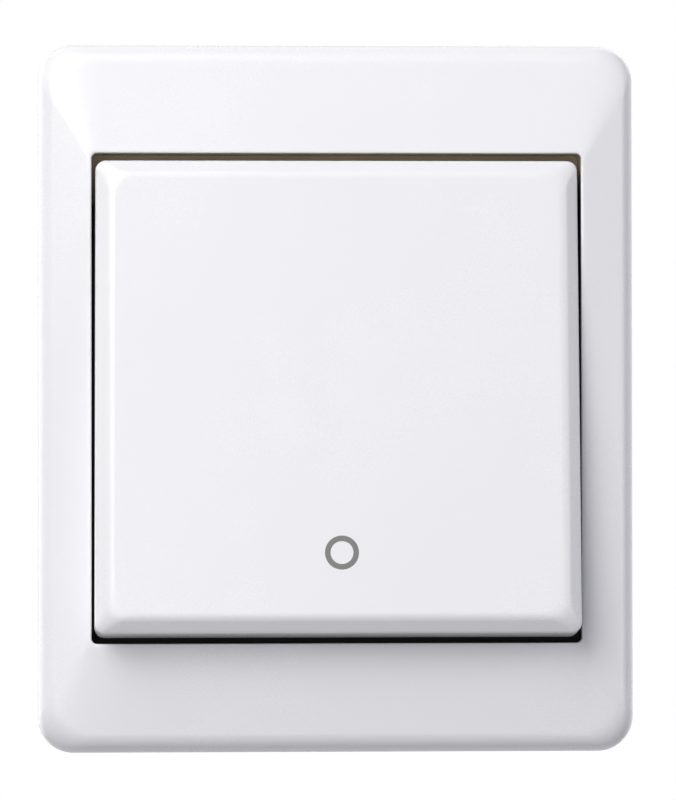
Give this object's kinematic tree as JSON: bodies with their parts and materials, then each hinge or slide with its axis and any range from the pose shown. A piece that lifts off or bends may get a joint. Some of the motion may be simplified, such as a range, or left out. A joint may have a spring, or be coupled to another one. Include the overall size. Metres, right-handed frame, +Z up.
{
  "type": "two-pole light switch",
  "caption": "Flush-mounted two-pole light switch with a large rocker in a sloped rectangular cover frame, on its insert.",
  "frame": {"origin": "centre of the box screws, on the wall surface", "axes": "+X to the right and +Z up as seen from the room, -Y out of the wall into the room"},
  "size_m": [0.085, 0.0378, 0.101],
  "materials": {
    "frame_white": "glossy moulded white",
    "rocker_white": "glossy moulded white",
    "cradle_plastic": "moulded natural nylon",
    "plunger_plastic": "moulded acetal",
    "housing_plastic": "moulded grey thermoset",
    "cover_plastic": "moulded light grey",
    "zinc_plate": "zinc plated sheet",
    "zinc_screw": "zinc plated",
    "brass_strip": "stamped brass",
    "brass_block": "machined brass",
    "copper_arm": "stamped copper alloy",
    "silver_contact": "silver alloy",
    "spring_steel": "drawn spring wire"
  },
  "bodies": {
    "root": {"cover_frame": "frame_white", "support_plate": "zinc_plate", "housing_base": "housing_plastic", "mechanism_cover": "cover_plastic", "assembly_screws": "zinc_screw", "terminal_screws": "zinc_screw", "pivot_terminal_left": "brass_strip", "fixed_terminal_left": "brass_strip", "fixed_contact_left": "silver_contact", "pivot_terminal_right": "brass_strip", "fixed_terminal_right": "brass_strip", "fixed_contact_right": "silver_contact", "terminal_block_upper_left": "brass_block", "terminal_block_upper_right": "brass_block", "terminal_block_lower_left": "brass_block", "terminal_block_lower_right": "brass_block"},
    "rocker": {"rocker_cap": "rocker_white", "rocker_cradle": "cradle_plastic", "plunger_spring_left": "spring_steel", "plunger_spring_right": "spring_steel"},
    "plunger_left": {"plunger_left": "plunger_plastic"},
    "contact_arm_left": {"contact_arm_left": "copper_arm", "moving_contact_left": "silver_contact"},
    "plunger_right": {"plunger_right": "plunger_plastic"},
    "contact_arm_right": {"contact_arm_right": "copper_arm", "moving_contact_right": "silver_contact"}
  },
  "joints": [
    {"name": "rocker_tilt", "type": "hinge", "parent": "root", "child": "rocker", "pos_m": [0, -0.0085, 0], "axis": [1, 0, 0], "range_deg": [0, 11]},
    {"name": "contact_arm_left_rock", "type": "hinge", "parent": "root", "child": "contact_arm_left", "pos_m": [-0.0065, 0.0144, 0], "axis": [1, 0, 0], "range_deg": [-16, 0]},
    {"name": "contact_arm_right_rock", "type": "hinge", "parent": "root", "child": "contact_arm_right", "pos_m": [0.0065, 0.0144, 0], "axis": [1, 0, 0], "range_deg": [-16, 0]},
    {"name": "plunger_left_slide", "type": "slide", "parent": "rocker", "child": "plunger_left", "axis": [0, -0.9954, 0.0958], "range_m": [0, 0.0008], "stiffness_N_per_m": 500, "deforming": ["plunger_spring_left"]},
    {"name": "plunger_right_slide", "type": "slide", "parent": "rocker", "child": "plunger_right", "axis": [0, -0.9954, 0.0958], "range_m": [0, 0.0008], "stiffness_N_per_m": 500, "deforming": ["plunger_spring_right"]}
  ],
  "couplings": [
    {"joint": "contact_arm_left_rock", "follows": "rocker_tilt", "ratio": -1.4545},
    {"joint": "contact_arm_right_rock", "follows": "rocker_tilt", "ratio": -1.4545}
  ]
}
